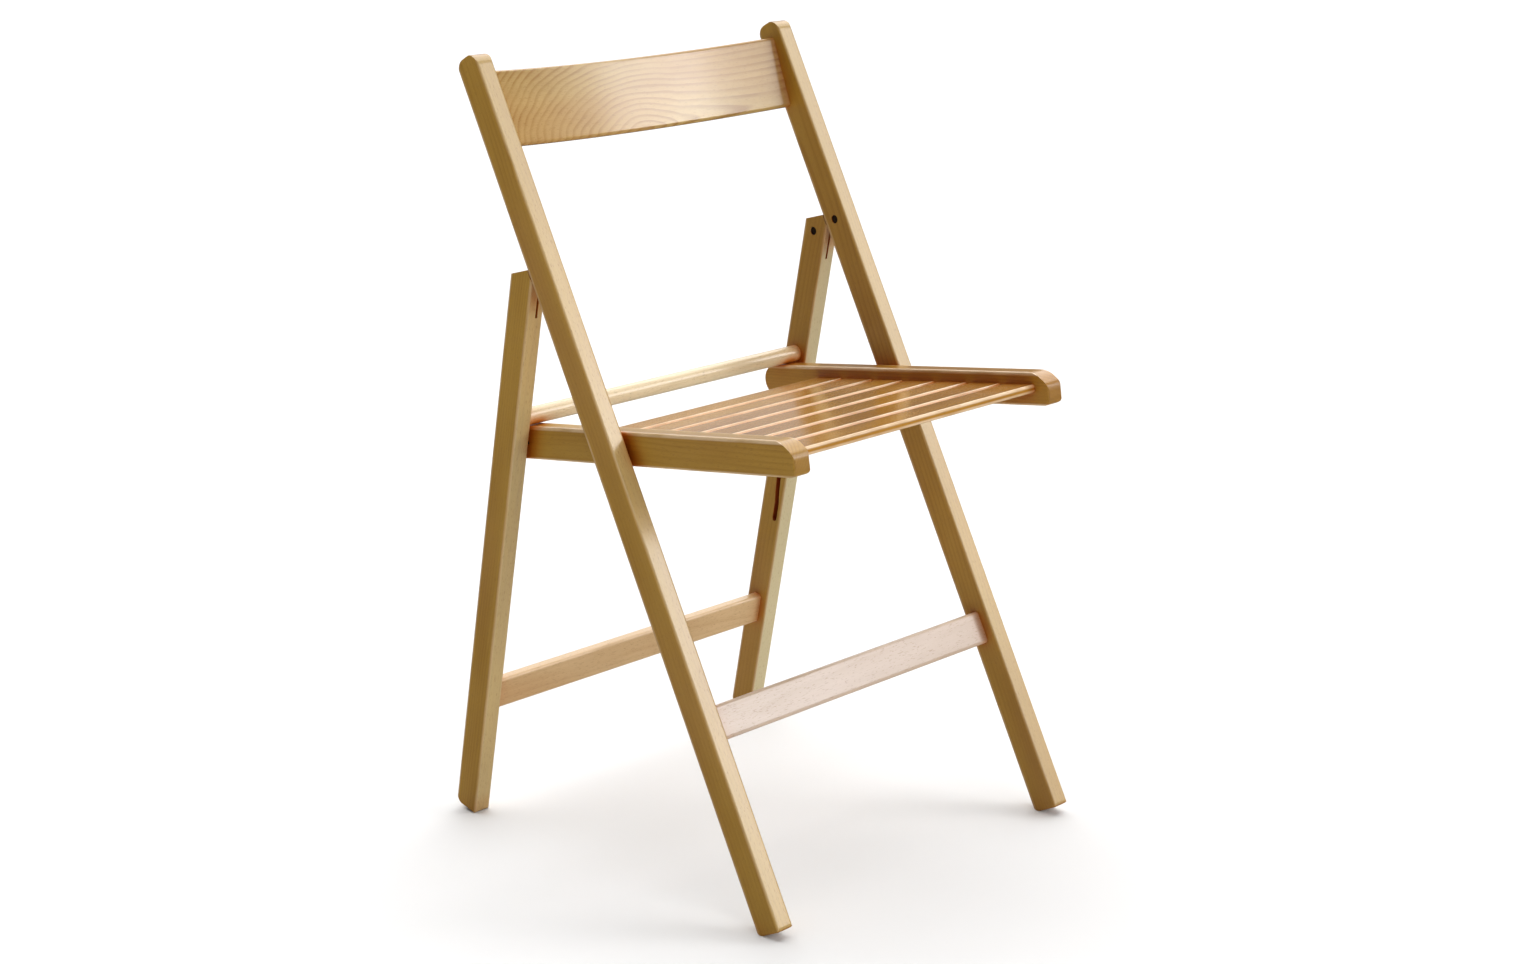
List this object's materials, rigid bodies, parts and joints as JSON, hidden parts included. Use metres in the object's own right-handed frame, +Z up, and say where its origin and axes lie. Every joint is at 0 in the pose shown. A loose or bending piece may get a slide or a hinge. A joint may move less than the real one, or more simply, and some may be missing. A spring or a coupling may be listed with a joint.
{
  "type": "folding chair",
  "caption": "Beech folding chair with a bowed backrest, a slatted seat between side rails and a rear frame hung on short steel links.",
  "frame": {"origin": "on the floor, at the centre of the open chair's footprint (centre of the bounding box's bottom face)", "axes": "+Z up, +X towards the sitter's left, +Y towards the back of the chair, so the sitter faces -Y"},
  "size_m": [0.43, 0.5048, 0.8109],
  "materials": {
    "frame_beech": "clear gloss lacquer on honey beech",
    "slat_beech": "clear gloss lacquer on honey beech",
    "backrest_beech": "clear gloss lacquer on flat-sawn beech",
    "dark_steel": "dark burnished"
  },
  "bodies": {
    "front_frame": {"left_stile": "frame_beech", "right_stile": "frame_beech", "backrest": "backrest_beech", "front_stretcher": "frame_beech", "left_hinge_link": "dark_steel", "right_hinge_link": "dark_steel", "left_stile_pin": "dark_steel", "right_stile_pin": "dark_steel"},
    "rear_frame": {"left_rear_leg": "frame_beech", "right_rear_leg": "frame_beech", "rear_stretcher": "frame_beech", "stop_dowel": "frame_beech", "left_leg_pin": "dark_steel", "right_leg_pin": "dark_steel"},
    "seat": {"left_seat_rail": "frame_beech", "right_seat_rail": "frame_beech", "seat_slat_1": "slat_beech", "seat_slat_2": "slat_beech", "seat_slat_3": "slat_beech", "seat_slat_4": "slat_beech", "seat_slat_5": "slat_beech", "seat_slat_6": "slat_beech", "seat_slat_7": "slat_beech", "left_seat_pivot": "dark_steel", "right_seat_pivot": "dark_steel", "left_pivot_washer": "dark_steel", "right_pivot_washer": "dark_steel", "left_slide_pin": "dark_steel", "right_slide_pin": "dark_steel"}
  },
  "joints": [
    {"name": "seat_fold", "type": "hinge", "parent": "front_frame", "child": "seat", "pos_m": [0, -0.01416, 0.44003], "axis": [-1, 0, 0], "range_deg": [0, 98.27]},
    {"name": "rear_frame_fold", "type": "hinge", "parent": "front_frame", "child": "rear_frame", "pos_m": [0, 0.10019, 0.58891], "axis": [-1, 0, 0], "range_deg": [0, 39.61]}
  ],
  "couplings": [
    {"joint": "rear_frame_fold", "follows": "seat_fold", "ratio": 0.40299}
  ]
}
